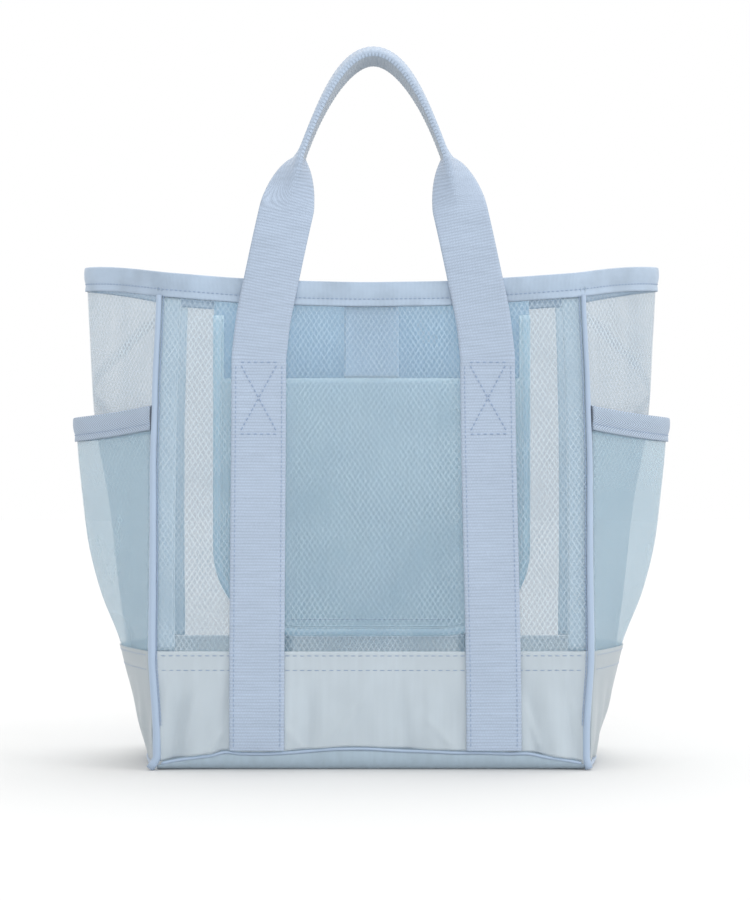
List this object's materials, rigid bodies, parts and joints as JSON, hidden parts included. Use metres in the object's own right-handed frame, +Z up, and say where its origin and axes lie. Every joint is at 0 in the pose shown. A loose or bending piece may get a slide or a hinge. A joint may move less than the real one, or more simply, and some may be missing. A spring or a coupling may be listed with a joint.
{
  "type": "beach bag",
  "caption": "Translucent mesh tote with a woven base band, side pockets, hanging inner pouch, closure tabs and two webbing handles with folded grips.",
  "frame": {"origin": "middle of the flat underside of the base panel, on the plane the bag stands on", "axes": "+Z up, the front panel faces -Y, +X to the right seen from the front"},
  "size_m": [0.4298, 0.1937, 0.5036],
  "materials": {
    "mesh": "sheer knitted mesh with a diamond net",
    "base_nylon": "woven nylon, soft sheen",
    "binding_tape": "ribbed satin tape",
    "herringbone_tape": "herringbone twill tape",
    "webbing": "cross-ribbed polyester webbing",
    "piping": "folded nylon piping",
    "pouch_nylon": "coated nylon, satin sheen",
    "snap_metal": "nickel plated"
  },
  "bodies": {
    "root": {"back_base_band": "base_nylon", "back_base_piping": "piping", "back_left_corner_piping": "piping", "back_left_handle_leg": "webbing", "back_left_seam_tape": "binding_tape", "back_mesh_panel": "mesh", "back_right_corner_piping": "piping", "back_right_handle_leg": "webbing", "back_right_seam_tape": "binding_tape", "base_panel": "base_nylon", "front_base_band": "base_nylon", "front_base_piping": "piping", "front_left_corner_piping": "piping", "front_left_handle_leg": "webbing", "front_left_seam_tape": "binding_tape", "front_mesh_panel": "mesh", "front_right_corner_piping": "piping", "front_right_handle_leg": "webbing", "front_right_seam_tape": "binding_tape", "left_base_band": "base_nylon", "left_base_piping": "piping", "left_gusset_mesh": "mesh", "left_pocket_binding": "herringbone_tape", "left_pocket_mesh": "mesh", "right_base_band": "base_nylon", "right_base_piping": "piping", "right_gusset_mesh": "mesh", "right_pocket_binding": "herringbone_tape", "right_pocket_mesh": "mesh", "rim_binding": "binding_tape"},
    "front_handle": {"front_handle": "webbing"},
    "back_handle": {"back_handle": "webbing"},
    "pouch": {"pouch_back_panel": "pouch_nylon", "pouch_front_panel": "pouch_nylon", "pouch_edge_binding": "binding_tape"},
    "front_tab": {"front_closure_tab": "webbing", "front_snap": "snap_metal"},
    "back_tab": {"back_closure_tab": "webbing", "back_snap": "snap_metal"}
  },
  "joints": [
    {"name": "front_handle_swing", "type": "hinge", "parent": "root", "child": "front_handle", "pos_m": [0.0013, -0.0667, 0.286], "axis": [1, 0, 0], "range_deg": [0, 178]},
    {"name": "back_handle_swing", "type": "hinge", "parent": "root", "child": "back_handle", "pos_m": [0.0013, 0.0667, 0.286], "axis": [1, 0, 0], "range_deg": [0, 178]},
    {"name": "pouch_swing", "type": "hinge", "parent": "root", "child": "pouch", "pos_m": [0, 0.055, 0.3218], "axis": [-1, 0, 0], "range_deg": [0, 25]},
    {"name": "front_tab_swing", "type": "hinge", "parent": "root", "child": "front_tab", "pos_m": [0, -0.0556, 0.3218], "axis": [1, 0, 0], "range_deg": [0, 100]},
    {"name": "back_tab_swing", "type": "hinge", "parent": "pouch", "child": "back_tab", "pos_m": [0, 0.0514, 0.3218], "axis": [-1, 0, 0], "range_deg": [0, 100]}
  ]
}
